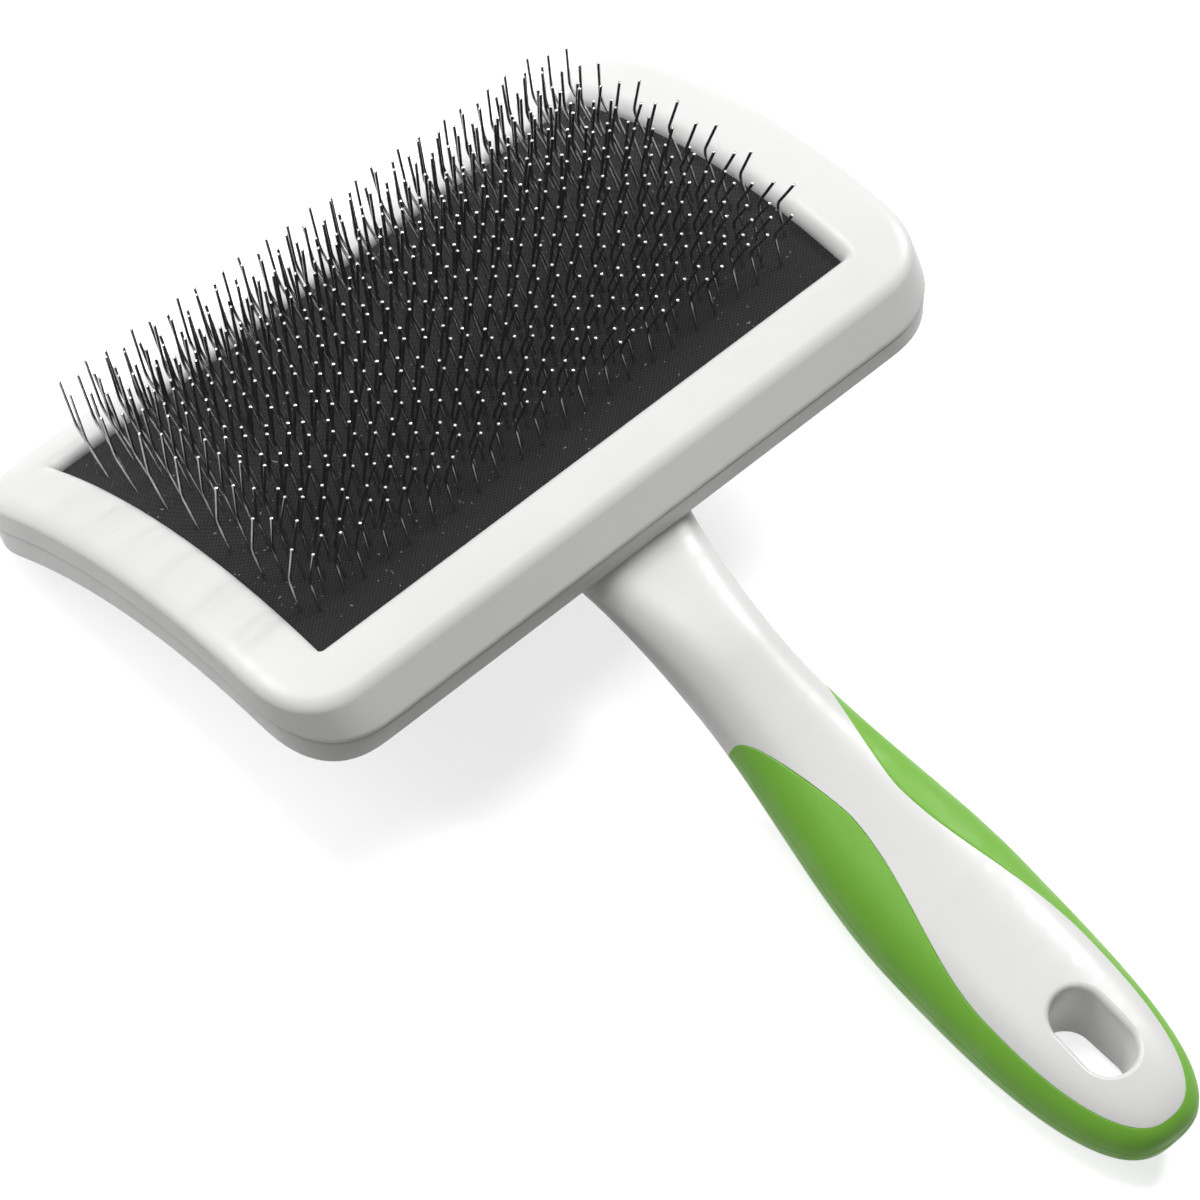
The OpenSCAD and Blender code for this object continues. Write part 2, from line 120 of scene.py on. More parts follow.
def ring(u, depth, more=0.0, deeper=0.0, rounder=0.0, corner_steps=16, side_steps=28):
    """Closed ring round the opening, u outside its edge and a depth under the arch.

    Its ends lie more out and deeper, and its corners are rounder than the plain ring's. A corner runs
    softly into its sides, as a superellipse that passes where the plain radius would.
    """
    length, width = OPENING_L + 2 * (u + more), OPENING_W + 2 * u
    r = CORNER_SPAN * max(CORNER_R - BEZEL_W + u + rounder, CORNER_MIN)
    corner = []
    for i in range(corner_steps + 1):
        a = math.pi / 2 * i / corner_steps
        across_r, along_r = (r * (1 - max(f(a), 0) ** (2 / CORNER_N)) for f in (math.cos, math.sin))
        corner.append((length / 2 - across_r, width / 2 - along_r, math.cos(a) ** 2))
    half = [(x, -y, end) for x, y, end in reversed(corner)]
    half += [(length / 2, (width / 2 - r) * (2 * i / side_steps - 1), 1.0) for i in range(1, side_steps)]
    half += corner
    outline = half + [(-x, y, end) for x, y, end in reversed(half)]
    return [(x, y, arch(y) - depth - deeper * end) for x, y, end in outline]


def rounding(n):
    return [math.radians(90 * i / n) for i in range(n + 1)]


def loft(rings, looped=False, lids=False):
    """Quads over a list of rings; lids cross a ring from each point to its mirror image."""
    n, m = len(rings[0]), len(rings)
    points = [p for r in rings for p in r]
    faces = []
    for k in range(m if looped else m - 1):
        for j in range(n):
            a, b = k * n, (k + 1) % m * n
            faces.append((a + j, b + j, b + (j + 1) % n, a + (j + 1) % n))
    if lids:
        for first, up in ((0, False), ((m - 1) * n, True)):
            for i in range(n // 2 - 1):
                f = (first + i, first + i + 1, first + n - 2 - i, first + n - 1 - i)
                faces.append(f[::-1] if up else f)
    return points, faces


def wall_rings(steps, **fineness):
    """Outer edge of the solid's frame, from the foot of its rounded edge to its top."""
    wall_u = BEZEL_W - FRAME_DRAFT
    more = END_MORE + FRAME_DRAFT
    return [ring(wall_u - EDGE_R * (1 - math.cos(a)), EDGE_R * (1 - math.sin(a)), more, **fineness)
            for a in rounding(steps)]


def back_edge_rings(steps, **fineness):
    """Rounded lower edge of the back, from its underside to its rim."""
    edge_u = RIM_U - RIM_TAPER
    return [ring(edge_u - BACK_EDGE_R * (1 - math.sin(a)), BACK_Z - BACK_EDGE_R * (1 - math.cos(a)),
                 END_MORE + RIM_TAPER - END_TAPER, **fineness) for a in rounding(steps)]


def frame_edge_rings(steps):
    """The frame's upper edge as it shows: a sloping wall along the sides, an upright one at the ends."""
    reach, drop = BEZEL_W - SIDE_EDGE_U, FRAME_H - SIDE_EDGE_R
    slope = math.atan2(drop, reach) + math.asin(SIDE_EDGE_R / math.hypot(drop, reach))
    rings = []
    for i in range(steps, -1, -1):
        a, b = slope * i / steps, math.pi / 2 * i / steps
        side_u, side_z = SIDE_EDGE_U + SIDE_EDGE_R * math.sin(a), SIDE_EDGE_R * (1 - math.cos(a))
        end_u = BEZEL_W + END_MORE - END_EDGE_L * (1 - math.sin(b))
        more, deeper = end_u - side_u, END_EDGE_Z * (1 - math.cos(b)) - side_z
        rings.append(ring(side_u, side_z, more, deeper, END_ROUNDER * (more - END_MORE)))
    return rings


def frame_rings():
    """Section of the frame: rounded foot, wall and edge, lip, and the recess that clamps the pad."""
    rings = [ring(BEZEL_W - SEAM_R * (1 - math.sin(a)), FRAME_H - SEAM_R * (1 - math.cos(a)), END_MORE)
             for a in rounding(SEAM_STEPS)]
    edge = frame_edge_rings(EDGE_STEPS)
    hold = [tuple((1 - HOLD_SHARE) * np.array(p) + HOLD_SHARE * np.array(q))
            for p, q in zip(rings[-1], edge[0])]
    rings += [hold] + edge
    rings += [ring(LIP_R * (1 - math.sin(a)), LIP_R * (1 - math.cos(a))) for a in rounding(LIP_STEPS)]
    rings += [ring(0, LIP_DEPTH), ring(CLAMP_U, LIP_DEPTH), ring(CLAMP_U, FRAME_H)]
    return rings


def plate_rings():
    """Section of the back: lower edge, rim, and the tray with its ledge and pocket."""
    rim = [ring(RIM_U - SEAM_R * (1 - math.cos(a)), FRAME_H + SEAM_R * (1 - math.sin(a)), END_MORE)
           for a in rounding(SEAM_STEPS)]
    tray = [ring(CLAMP_U, FRAME_H), ring(CLAMP_U, LEDGE_Z), ring(POCKET_U, LEDGE_Z), ring(POCKET_U, FLOOR_Z)]
    return back_edge_rings(BACK_STEPS) + rim + tray


# Shapes of the handle

def heading(slope):
    a = math.radians(slope)
    return np.array((-math.cos(a), -math.sin(a)))


ROOT_P, END_P = np.array((-NECK_Y, -NECK_Z)), np.array((-END_Y, -END_Z))
REACH = float(np.linalg.norm(END_P - ROOT_P))
PULL = PULL_SHARE * REACH
BEND_P = (ROOT_P, ROOT_P + PULL * heading(NECK_SLOPE), END_P - PULL * heading(END_SLOPE), END_P)
# Stations on the centre line, as shares of its run from the neck's root to the handle's end
NECK_AT, BELLY_AT, ROOT_AT, ISLAND_AT = 0.25, 0.65, -0.07, 0.77
WAIST_AT, NOSE_AT = GRIP_FROM + WAIST_IN, GRIP_FROM + NOSE_IN
ISLAND_END = 1 - CAP_L / REACH
CAP_T = CAP_SHARE * CAP_L
TIP_SHARE, NOSE_SHARE, NOSE_N = 0.93, 0.998, 1.45


def centre(t):
    if t < 0:
        return ROOT_P + t * REACH * heading(NECK_SLOPE)
    a, b, c, d = BEND_P
    return (1 - t) ** 3 * a + 3 * t * (1 - t) ** 2 * b + 3 * t * t * (1 - t) * c + t ** 3 * d


def along(t):
    if t < 0:
        return heading(NECK_SLOPE)
    a, b, c, d = BEND_P
    v = (1 - t) ** 2 * (b - a) + 2 * t * (1 - t) * (c - b) + t * t * (d - c)
    return v / np.linalg.norm(v)


def across(t):
    d = along(t)
    return np.array((d[1], -d[0]))


def ease(x):
    c = min(max(x, 0), 1)
    return c * c * (3 - 2 * c)


def taper(q, n=END_N):
    return max(1 - q ** n, 0) ** (1 / n)


def end_q(t):
    return max(0, (t - BELLY_AT) / (1 - BELLY_AT))


def half_w(t):
    if t < 0:
        return ROOT_W / 2
    if t < NECK_AT:
        return NECK_W / 2 + (ROOT_W - NECK_W) / 2 * (1 - t / NECK_AT) ** 2
    return NECK_W / 2 + (BELLY_W - NECK_W) / 2 * ease((t - NECK_AT) / (BELLY_AT - NECK_AT))


def half_t(t):
    if t < NECK_AT:
        return ROOT_T / 2 + (NECK_T - ROOT_T) / 2 * ease(t / NECK_AT)
    return NECK_T / 2 + (BELLY_T - NECK_T) / 2 * ease((t - NECK_AT) / (BELLY_AT - NECK_AT))


def skin_at(t, sunk):
    return t - max(0, (t - ISLAND_END) / (1 - ISLAND_END)) * min(sunk, CAP_T) / REACH


def section(t, sunk, a):
    k, e = taper(end_q(t)), 2 / SECTION_N
    c, s = math.cos(a), math.sin(a)
    return ((half_w(t) - sunk) * k * math.copysign(abs(c) ** e, c),
            (half_t(t) - sunk) * k * math.copysign(abs(s) ** e, s))


def place(t, p):
    c, n = centre(t), across(t)
    return (p[0], c[0] + p[1] * n[0], c[1] + p[1] * n[1])


def shell_point(t, sunk, a, least_x=0.0):
    """Point of the handle's skin at a station and an angle, sunk under it and no nearer the middle."""
    x, v = section(t, sunk, a)
    if abs(x) < least_x:
        x = math.copysign(least_x, math.cos(a))
    return place(skin_at(t, sunk), (x, v))


def island_x(t):
    """Half width of the bare island between the two sides of the grip."""
    w = half_w(t) * taper(end_q(t))
    if t < WAIST_AT:
        nose = NOSE_SHARE * w
        return nose + (WAIST_W / 2 - nose) * taper(1 - max(t - NOSE_AT, 0) / (WAIST_AT - NOSE_AT), NOSE_N)
    if t < ISLAND_AT:
        x = WAIST_W / 2 + (ISLAND_W - WAIST_W) / 2 * ease((t - WAIST_AT) / (ISLAND_AT - WAIST_AT))
    else:
        x = ISLAND_W / 2 * taper(min((t - ISLAND_AT) / (ISLAND_END - ISLAND_AT), 1), SECTION_N)
    return min(TIP_SHARE * w, x)


def edge_angle(t):
    """Angle round the section at which the grip meets the bare island."""
    w = half_w(t) * taper(end_q(t))
    return math.acos(min(island_x(t) / w, 1) ** (SECTION_N / 2))


def spread(a, b, n):
    return [a + (b - a) * i / n for i in range(n + 1)]


def crowd(a, b, n):
    return [a + (b - a) * math.sin(math.pi / 2 * i / n) for i in range(n + 1)]


# How the brush lies on the table, from the same stations as the solids

SOLID_STEPS, SOLID_EDGE_STEPS = 14, 4
SOLID_RING = {"corner_steps": 6, "side_steps": 10}


def lying():
    """Turn and shift that set the brush down on the far edge of its back and the end of its handle."""
    stations = spread(GRIP_FROM, ISLAND_AT, SOLID_STEPS)
    stations += crowd(ISLAND_AT, ISLAND_END, SOLID_STEPS // 2)[1:]
    cap = crowd(ISLAND_END, 1, SOLID_STEPS // 2)[:-1]
    edge = back_edge_rings(SOLID_EDGE_STEPS, **SOLID_RING)
    foot = [p[1:] for r in edge for p in r if p[0] > 0 and p[1] > 0]
    under = [shell_point(t, 0, -math.pi / 2)[1:] for t in stations + cap]
    turn = min(max(math.atan2(f[1] - p[1], f[0] - p[0]) for p in under) for f in foot)

    def lie(p):
        return (p[0] * math.cos(turn) + p[1] * math.sin(turn), p[1] * math.cos(turn) - p[0] * math.sin(turn))

    wall = [ring(BEZEL_W, FRAME_H, END_MORE, **SOLID_RING)] + wall_rings(SOLID_EDGE_STEPS, **SOLID_RING)
    far = [lie(p[1:])[0] for r in wall for p in r]
    tail = [lie(shell_point(t, 0, a)[1:])[0] for t in cap for a in (-math.pi / 2, 0, math.pi / 2)]
    middle = (max(far) + min(tail + [lie(END_P)[0]])) / 2
    table = min(lie(p)[1] for p in foot + under)
    return Matrix.Translation((0, -middle, -table)) @ Matrix.Rotation(-turn, 4, "X")


LAY = Matrix.Scale(MM, 4) @ lying()


# Meshes

def new_object(name, data):
    ob = bpy.data.objects.new(name, data)
    bpy.context.scene.collection.objects.link(ob)
    return ob


def mesh_object(name, points, faces, tidy=POINT_TIDY):
    """A new object in the head's frame, in millimetres, with doubled points and slivers merged."""
    bm = bmesh.new()
    verts = [bm.verts.new(p) for p in points]
    for f in faces:
        corners = [verts[i] for i in f]
        if len(set(corners)) == len(corners):
            bm.faces.new(corners)
    bmesh.ops.remove_doubles(bm, verts=bm.verts, dist=tidy)
    bmesh.ops.dissolve_degenerate(bm, edges=bm.edges, dist=tidy)
    bmesh.ops.recalc_face_normals(bm, faces=bm.faces)
    me = bpy.data.meshes.new(name)
    bm.to_mesh(me)
    bm.free()
    return new_object(name, me)


def combine(ob, other, how):
    """Boolean of two closed meshes; the second object goes."""
    mod = ob.modifiers.new("combine", "BOOLEAN")
    mod.object, mod.operation, mod.solver = other, how, "EXACT"
    graph = bpy.context.evaluated_depsgraph_get()
    me = bpy.data.meshes.new_from_object(ob.evaluated_get(graph))
    ob.modifiers.clear()
    ob.data = me
    bpy.data.objects.remove(other)


def mesh_tree(ob):
    """Search tree over an object's faces."""
    bm = bmesh.new()
    bm.from_mesh(ob.data)
    tree = BVHTree.FromBMesh(bm)
    bm.free()
    return tree


def clean_joints(ob):
    """Merges points that the booleans doubled, and takes out faces folded flat on the mirror plane."""
    bm = bmesh.new()
    bm.from_mesh(ob.data)
    bmesh.ops.triangulate(bm, faces=bm.faces)
    bmesh.ops.remove_doubles(bm, verts=bm.verts, dist=JOINT_TIDY)
    fins = [f for f in bm.faces if all(abs(v.co.x) < FIN_X for v in f.verts)]
    bmesh.ops.delete(bm, geom=fins, context="FACES")
    bm.to_mesh(ob.data)
    bm.free()


def finish_piece(ob, material, slot, *nodes, sharp=PLAIN_SHARP):
    """Lays the piece on the table, in metres, smooth but for its sharp edges, and ties it to the frame."""
    ob.data.transform(LAY)
    for p in ob.data.polygons:
        p.use_smooth = True
    ob.data.set_sharp_from_angle(angle=math.radians(sharp))
    ob.data.materials.clear()
    ob.data.materials.append(material)
    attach(ob, "root")
    if nodes:
        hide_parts(*nodes)


def closed_loft(rings):
    """Points and faces of a handle-like skin: flat start, and a point at the finish."""
    n = len(rings[0])
    points, faces = loft(rings)
    tip = len(points)
    points.append(tuple(np.mean(np.array(rings[-1]), axis=0)))
    last = tip - n
    faces.append(tuple(range(n)))
    faces += [(last + j, tip, last + (j + 1) % n) for j in range(n)]
    return points, faces


# Stations of the handle's meshes: the neck, the grip beside the island, and the cap past it
NECK_STEPS, NOSE_STEPS, WAIST_STEPS, ISLAND_STEPS, CAP_STEPS, CORE_STEPS = 40, 40, 44, 26, 14, 24
JUST_PAST = 1e-5
NECK_T_LIST = spread(ROOT_AT, NOSE_AT, NECK_STEPS)
ISLAND_T_LIST = [NOSE_AT + (WAIST_AT - NOSE_AT) * (i / NOSE_STEPS) ** 2 for i in range(NOSE_STEPS + 1)]
ISLAND_T_LIST += spread(WAIST_AT, ISLAND_AT, WAIST_STEPS)[1:]
ISLAND_T_LIST += crowd(ISLAND_AT, ISLAND_END, ISLAND_STEPS)[1:]
CAP_T_LIST = [t for t in crowd(ISLAND_END, 1, CAP_STEPS)[1:] if t < 1]


def core_ring(t):
    """Section of the white moulding: sunk sides under the grip, and the bare islands between."""
    gripped = t > NOSE_AT
    capped = t > ISLAND_END
    e = math.pi / 2 if capped else edge_angle(max(t, NOSE_AT))
    sunk = GRIP_T if gripped else 0.0
    bare_sunk = sunk if capped else 0
    x = island_x(t) if gripped and not capped else 0.0
    side = [shell_point(t, sunk, e * (2 * i / CORE_STEPS - 1), x) for i in range(CORE_STEPS + 1)]
    mirrored = [(-p[0], p[1], p[2]) for p in reversed(side)]
    bare, under = ([shell_point(t, bare_sunk, start + (math.pi - 2 * e) * i / CORE_STEPS)
                    for i in range(CORE_STEPS + 1)] for start in (e, math.pi + e))
    return side + bare + mirrored + under


def slot_cutter(tree):
    """Cutter for the hang slot, its rim rounded into the handle's skin on both faces."""
    t = 1 - SLOT_IN / REACH
    spot, d, n = Vector(place(t, (0, 0))), along(t), across(t)
    far, up = Vector((0, d[0], d[1])), Vector((0, n[0], n[1]))
    right, straight = Vector((1, 0, 0)), (SLOT_L - SLOT_W) / 2
    columns = []
    for i in range(SLOT_COLUMNS):
        a = 2 * math.pi * i / SLOT_COLUMNS
        out = right * math.cos(a) + far * math.sin(a)
        wall = spot + out * SLOT_W / 2 + far * math.copysign(straight, math.sin(a))
        brim = wall + out * SLOT_FILLET
        top = (tree.ray_cast(brim + up * RAY_FROM, -up)[0] - brim).dot(up) - SLOT_SUNK
        low = (tree.ray_cast(brim - up * RAY_FROM, up)[0] - brim).dot(up) + SLOT_SUNK
        column = [brim + up * (low - SLOT_PAST)]
        for b in rounding(FILLET_STEPS):
            flare, rise = SLOT_FILLET * (1 - math.sin(b)), SLOT_FILLET * (1 - math.cos(b))
            column.append(wall + out * flare + up * (low + rise))
        for b in reversed(rounding(FILLET_STEPS)):
            flare, rise = SLOT_FILLET * (1 - math.sin(b)), SLOT_FILLET * (1 - math.cos(b))
            column.append(wall + out * flare + up * (top - rise))
        column.append(brim + up * (top + SLOT_PAST))
        columns.append(column)
    rings = [[tuple(c[k]) for c in columns] for k in range(len(columns[0]))]
    points, faces = loft(rings)
    count = len(rings[0])
    faces.append(tuple(range(count)))
    faces.append(tuple(range(len(points) - count, len(points))))
    return mesh_object("slot_cutter", points, faces)


def pad_space(u, depth):
    points, faces = loft([ring(u, depth), ring(u, -PAD_CLEAR)], lids=True)
    return mesh_object("pad_space", points, faces)


def white_moulding():
    """Back, neck and handle core in one mesh, with the hang slot cut."""
    stations = NECK_T_LIST + [NOSE_AT + JUST_PAST] + ISLAND_T_LIST[1:] + CAP_T_LIST
    handle = mesh_object("handle", *closed_loft([core_ring(t) for t in stations]))
    combine(handle, pad_space(CLAMP_U, (LEDGE_Z + FLOOR_Z) / 2), "DIFFERENCE")
    combine(handle, pad_space(POCKET_U, (FLOOR_Z + BACK_Z) / 2), "DIFFERENCE")
    ob = mesh_object("back_with_handle", *loft(plate_rings(), lids=True))
    tree = mesh_tree(handle)
    combine(ob, handle, "UNION")
    combine(ob, slot_cutter(tree), "DIFFERENCE")
    clean_joints(ob)
    return ob


# Places across one side of the grip, from edge to edge, closer at the seam and at the two edges
GRIP_EVEN = 20
GRIP_CLOSE = (0.008, 0.016, 0.028, 0.93, 0.97, 0.985, 0.995)
GRIP_STEPS = sorted(set([round(-1 + i / GRIP_EVEN, 4) for i in range(2 * GRIP_EVEN + 1)]
                        + [s * k for s in (-1, 1) for k in GRIP_CLOSE]))


def grip_arc(t, outer):
    """One side of the grip at a station, from its lower edge to its upper edge."""
    capped = t > ISLAND_END
    e = math.pi / 2 if capped else edge_angle(t)
    x = 0.0 if capped else island_x(t)
    if not outer:
        return [shell_point(t, GRIP_T, e * s, x) for s in GRIP_STEPS]
    middle = np.array(shell_point(t, 0, 0))
    arc = []
    for s in GRIP_STEPS:
        p = np.array(shell_point(t, 0, e * s))
        edge = np.array(shell_point(t, 0, math.copysign(e, s)))
        gap = float(np.linalg.norm(p - edge))
        sunk = 0.0
        if not capped and gap <= GRIP_EDGE_R:
            sunk = GRIP_EDGE_R - math.sqrt(GRIP_EDGE_R ** 2 - (GRIP_EDGE_R - gap) ** 2)
        seam = float(np.linalg.norm(p - middle)) / GRIP_SEAM_W
        sunk -= GRIP_SEAM_H * math.exp(-seam * seam)
        arc.append(shell_point(t, sunk, e * s, x))
    return arc


def grip_shell():
    """Both sides of the grip in one closed mesh, joined round the handle's end."""
    stations = ISLAND_T_LIST + CAP_T_LIST
    points, faces = [], []
    n = len(GRIP_STEPS)
    m = len(stations)
    cap_from = len(ISLAND_T_LIST) - 1
    for side in (1, -1):
        base = {}
        for outer in (True, False):
            base[outer] = len(points)
            for t in stations:
                points += [(side * p[0], p[1], p[2]) for p in grip_arc(t, outer)]
            points.append(shell_point(1, 0.0 if outer else GRIP_T, 0))
            at = base[outer]
            for k in range(m - 1):
                faces += [(at + k * n + j, at + (k + 1) * n + j, at + (k + 1) * n + j + 1, at + k * n + j + 1)
                          for j in range(n - 1)]
            last = at + (m - 1) * n
            faces += [(last + j, at + m * n, last + j + 1) for j in range(n - 1)]
        a, b = base[True], base[False]
        for k in range(cap_from):
            for j in (0, n - 1):
                faces.append((a + k * n + j, a + (k + 1) * n + j, b + (k + 1) * n + j, b + k * n + j))
        faces += [(a + j, a + j + 1, b + j + 1, b + j) for j in range(n - 1)]
    return mesh_object("soft_grip", points, faces, GRIP_TIDY)


# Pad

def arched_slab(name, length, width, depth, thick, soft, cells):
    """Sheet or pad that follows the arch, with its edges rounded."""
    nx, ny = cells
    half_x, half_y = length / 2, width / 2

    def lift(x, y):
        """How far the face draws in at the sheet's edge."""
        g = min(half_x - abs(x), half_y - abs(y))
        return soft - math.sqrt(max(soft ** 2 - (soft - g) ** 2, 0)) if g < soft else 0.0

    def stops(half, n):
        inner = half - soft
        edge = [half - soft * (1 - math.sin(math.radians(a))) for a in SLAB_EDGE_ANGLES]
        body = spread(-inner, inner, n)
        return [-e for e in reversed(edge)] + body + edge

    xs, ys = stops(half_x, nx), stops(half_y, ny)
    points, faces = [], []
    for face in (0, 1):
        for y in ys:
            for x in xs:
                z = arch(y) - depth
                points.append((x, y, z - lift(x, y) if face == 0 else z - thick + lift(x, y)))
    cx, cy = len(xs), len(ys)
    top = cx * cy
    for j in range(cy - 1):
        for i in range(cx - 1):
            q = (j * cx + i, j * cx + i + 1, (j + 1) * cx + i + 1, (j + 1) * cx + i)
            faces.append(q)
            faces.append(tuple(top + k for k in reversed(q)))
    border = ([(i, 0) for i in range(cx)] + [(cx - 1, j) for j in range(1, cy)]
              + [(i, cy - 1) for i in range(cx - 2, -1, -1)] + [(0, j) for j in range(cy - 2, 0, -1)])
    index = [j * cx + i for i, j in border]
    for k, p in enumerate(index):
        q = index[(k + 1) % len(index)]
        faces.append((q, p, top + p, top + q))
    return mesh_object(name, points, faces)


# Wire staples

ROWS = int(FIELD_W / ROW_PITCH) + 1


def row_tilt(i):
    return ((i - (ROWS - 1) / 2) * ROW_PITCH + FIELD_SHIFT) / ARCH_R


def staple_xs(i):
    """Middles of the staples of a row, stepped along from the row before."""
    first = (STAPLE_W - FIELD_L) / 2 + (ROW_START + ROWS * STAPLE_PITCH - i * ROW_STEP) % STAPLE_PITCH
    xs = []
    while first <= (FIELD_L - STAPLE_W) / 2 + 1e-9:
        xs.append(first)
        first += STAPLE_PITCH
    return xs


def rounded_path(corners, radii, steps=5):
    """A path through corners, each turned on a small arc; the first and last are its ends."""
    path = [Vector(corners[0])]
    for k in range(1, len(corners) - 1):
        p, a, b = Vector(corners[k]), Vector(corners[k - 1]), Vector(corners[k + 1])
        start, stop = p + (a - p).normalized() * radii[k - 1], p + (b - p).normalized() * radii[k - 1]
        for i in range(steps + 1):
            s = i / steps
            path.append((1 - s) ** 2 * start + 2 * s * (1 - s) * p + s * s * stop)
    path.append(Vector(corners[-1]))
    return path


def tube(path, radius, sides, points, faces, tip_glint):
    """Round wire along a path, its ends ground to a small bevel; the end rings are marked for brighter steel,
    a painted glint on the cut ends.
    """
    first = len(points)
    count = len(path)
    side = Vector((1, 0, 0))
    for k, p in enumerate(path):
        heading_k = (path[min(k + 1, count - 1)] - path[max(k - 1, 0)]).normalized()
        side = (side - heading_k * side.dot(heading_k))
        if side.length < 1e-3:
            side = heading_k.orthogonal()
        side.normalize()
        up = heading_k.cross(side)
        r = radius * TIP_BEVEL.get(min(k, count - 1 - k), 1.0)
        for j in range(sides):
            a = 2 * math.pi * j / sides
            points.append(tuple(p + (side * math.cos(a) + up * math.sin(a)) * r))
            tip_glint.append(1.0 if k in (0, count - 1) else 0.0)
    for k in range(count - 1):
        for j in range(sides):
            a, b = first + k * sides, first + (k + 1) * sides
            faces.append((a + j, a + (j + 1) % sides, b + (j + 1) % sides, b + j))
    faces.append(tuple(first + j for j in reversed(range(sides))))
    faces.append(tuple(first + (count - 1) * sides + j for j in range(sides)))


def direction(sway, lean):
    return Vector((math.sin(sway), math.sin(lean) * math.cos(sway), math.cos(lean) * math.cos(sway)))


def leg_points(x, side, i, chance):
    """Crown end, cloth, knee and tip of one leg, in the head's frame."""
    tilt = row_tilt(i)
    y = ARCH_R * math.sin(tilt)
    base = Vector((x + side * STAPLE_W / 2, y, arch(y) - LIP_DEPTH))
    share = base.x / (FIELD_L / 2)
    lean = tilt + LEAN + math.radians(chance.gauss(0, LEAN_SPREAD))
    knee = math.radians(KNEE_ANGLE + KNEE_MORE * share + chance.gauss(0, KNEE_SPREAD))
    sway = math.radians(SWAY * side + chance.gauss(0, SWAY_SPREAD))
    tip_sway = sway + math.radians(chance.gauss(0, TIP_SWAY_SPREAD))
    shank = SHANK_L + chance.gauss(0, SHANK_SPREAD)
    tip = TIP_L - TIP_LESS * share + chance.gauss(0, TIP_SPREAD)
    up, over = direction(sway, lean), direction(tip_sway, lean - knee)
    down = Vector((0, -math.sin(tilt + LEAN), -math.cos(tilt + LEAN)))
    sunk = (CLOTH_T + RUBBER_T) / math.cos(LEAN) + WIRE_D / 2 + CROWN_CLEAR
    return base + down * sunk, base, base + up * shank, base + up * shank + over * tip


def near_tip(tip, knee):
    """Points from the tip of a leg back along it."""
    back = (knee - tip).normalized()
    return [tip] + [tip + back * d for d in NEAR_TIP]


def staple_row(i, material):
    """One row of staples in one mesh, each staple a bent wire from tip to tip."""
    chance = random.Random(WIRE_SEED + i)
    points, faces, tip_glint = [], [], []
    bends = [KNEE_R, CLOTH_BEND_R, CROWN_R, CROWN_R, CLOTH_BEND_R, KNEE_R]
    for x in staple_xs(i):
        foot_a, base_a, knee_a, tip_a = leg_points(x, -1, i, chance)
        foot_b, base_b, knee_b, tip_b = leg_points(x, 1, i, chance)
        end_a, end_b = near_tip(tip_a, knee_a), near_tip(tip_b, knee_b)
        corners = [end_a[3], knee_a, base_a, foot_a, foot_b, base_b, knee_b, end_b[3]]
        path = end_a[:3] + rounded_path(corners, bends) + end_b[2::-1]
        tube(path, WIRE_D / 2, WIRE_SIDES, points, faces, tip_glint)
    me = bpy.data.meshes.new(f"pins_row_{i + 1:02d}")
    me.from_pydata(points, [], faces)
    # Marks the wire ends, where brighter steel stands in for a painted glint
    me.attributes.new("tip_glint", "FLOAT", "POINT").data.foreach_set("value", tip_glint)
    finish_piece(new_object(me.name, me), material, "wire", f"staple_row_{i + 1:02d}", sharp=WIRE_SHARP)


# Materials

